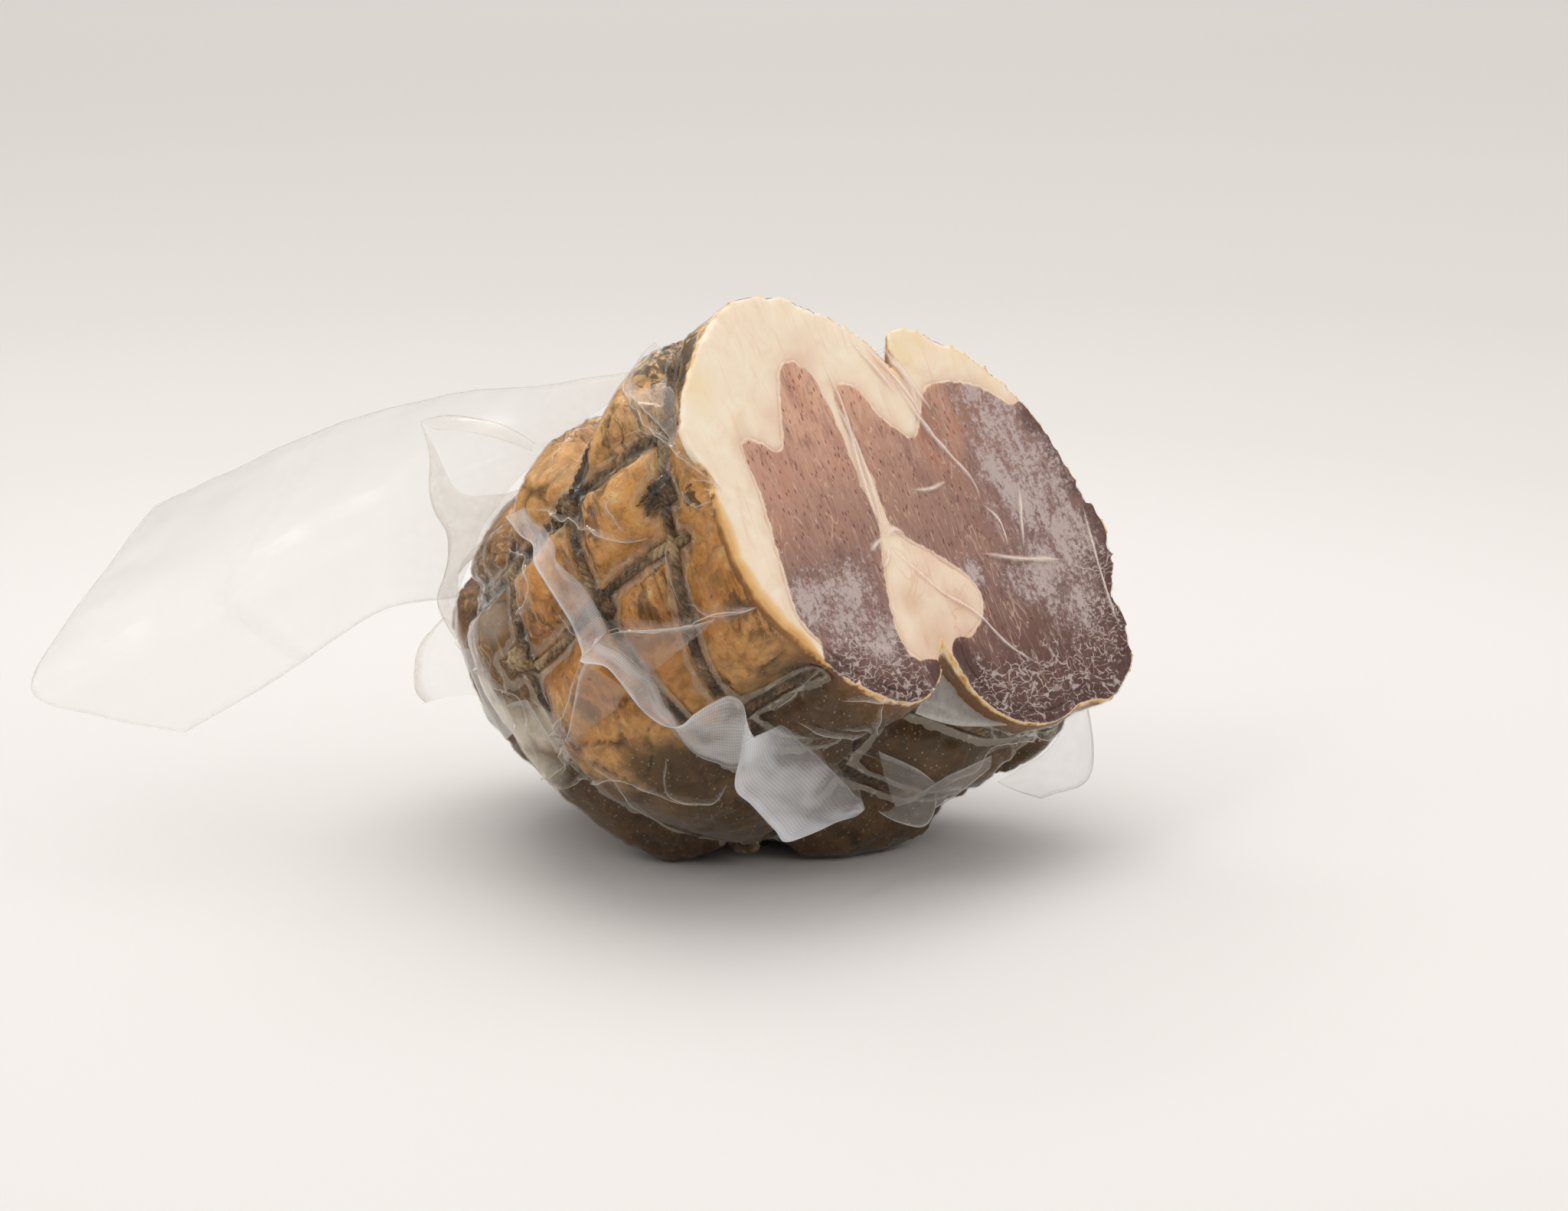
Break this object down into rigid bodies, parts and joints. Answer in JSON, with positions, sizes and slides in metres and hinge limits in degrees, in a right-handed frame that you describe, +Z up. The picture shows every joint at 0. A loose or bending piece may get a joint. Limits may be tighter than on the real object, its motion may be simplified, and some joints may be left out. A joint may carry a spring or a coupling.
{
  "type": "culatello",
  "caption": "Half a cured, rind-on pork haunch cut across, tied in twine and vacuum packed in a clear bag with a free mouth flap and a ruffled weld",
  "frame": {"origin": "under the middle of the outer box, on the surface that the meat lies on", "axes": "+Z is up, +X points from the bag's mouth to the cut end, -Y is the side that shows the cut face and the front weld"},
  "size_m": [0.351, 0.1804, 0.1847],
  "materials": {
    "fat_rind": "satin",
    "lean": "satin",
    "twine": "matte",
    "film": "gloss"
  },
  "bodies": {
    "root": {"fat_and_rind": "fat_rind", "muscle_left": "lean", "muscle_right": "lean", "twine_net": "twine", "bag_mouth": "film", "bag_front_weld": "film", "bag_corner": "film", "bag_back_weld": "film"}
  },
  "joints": []
}
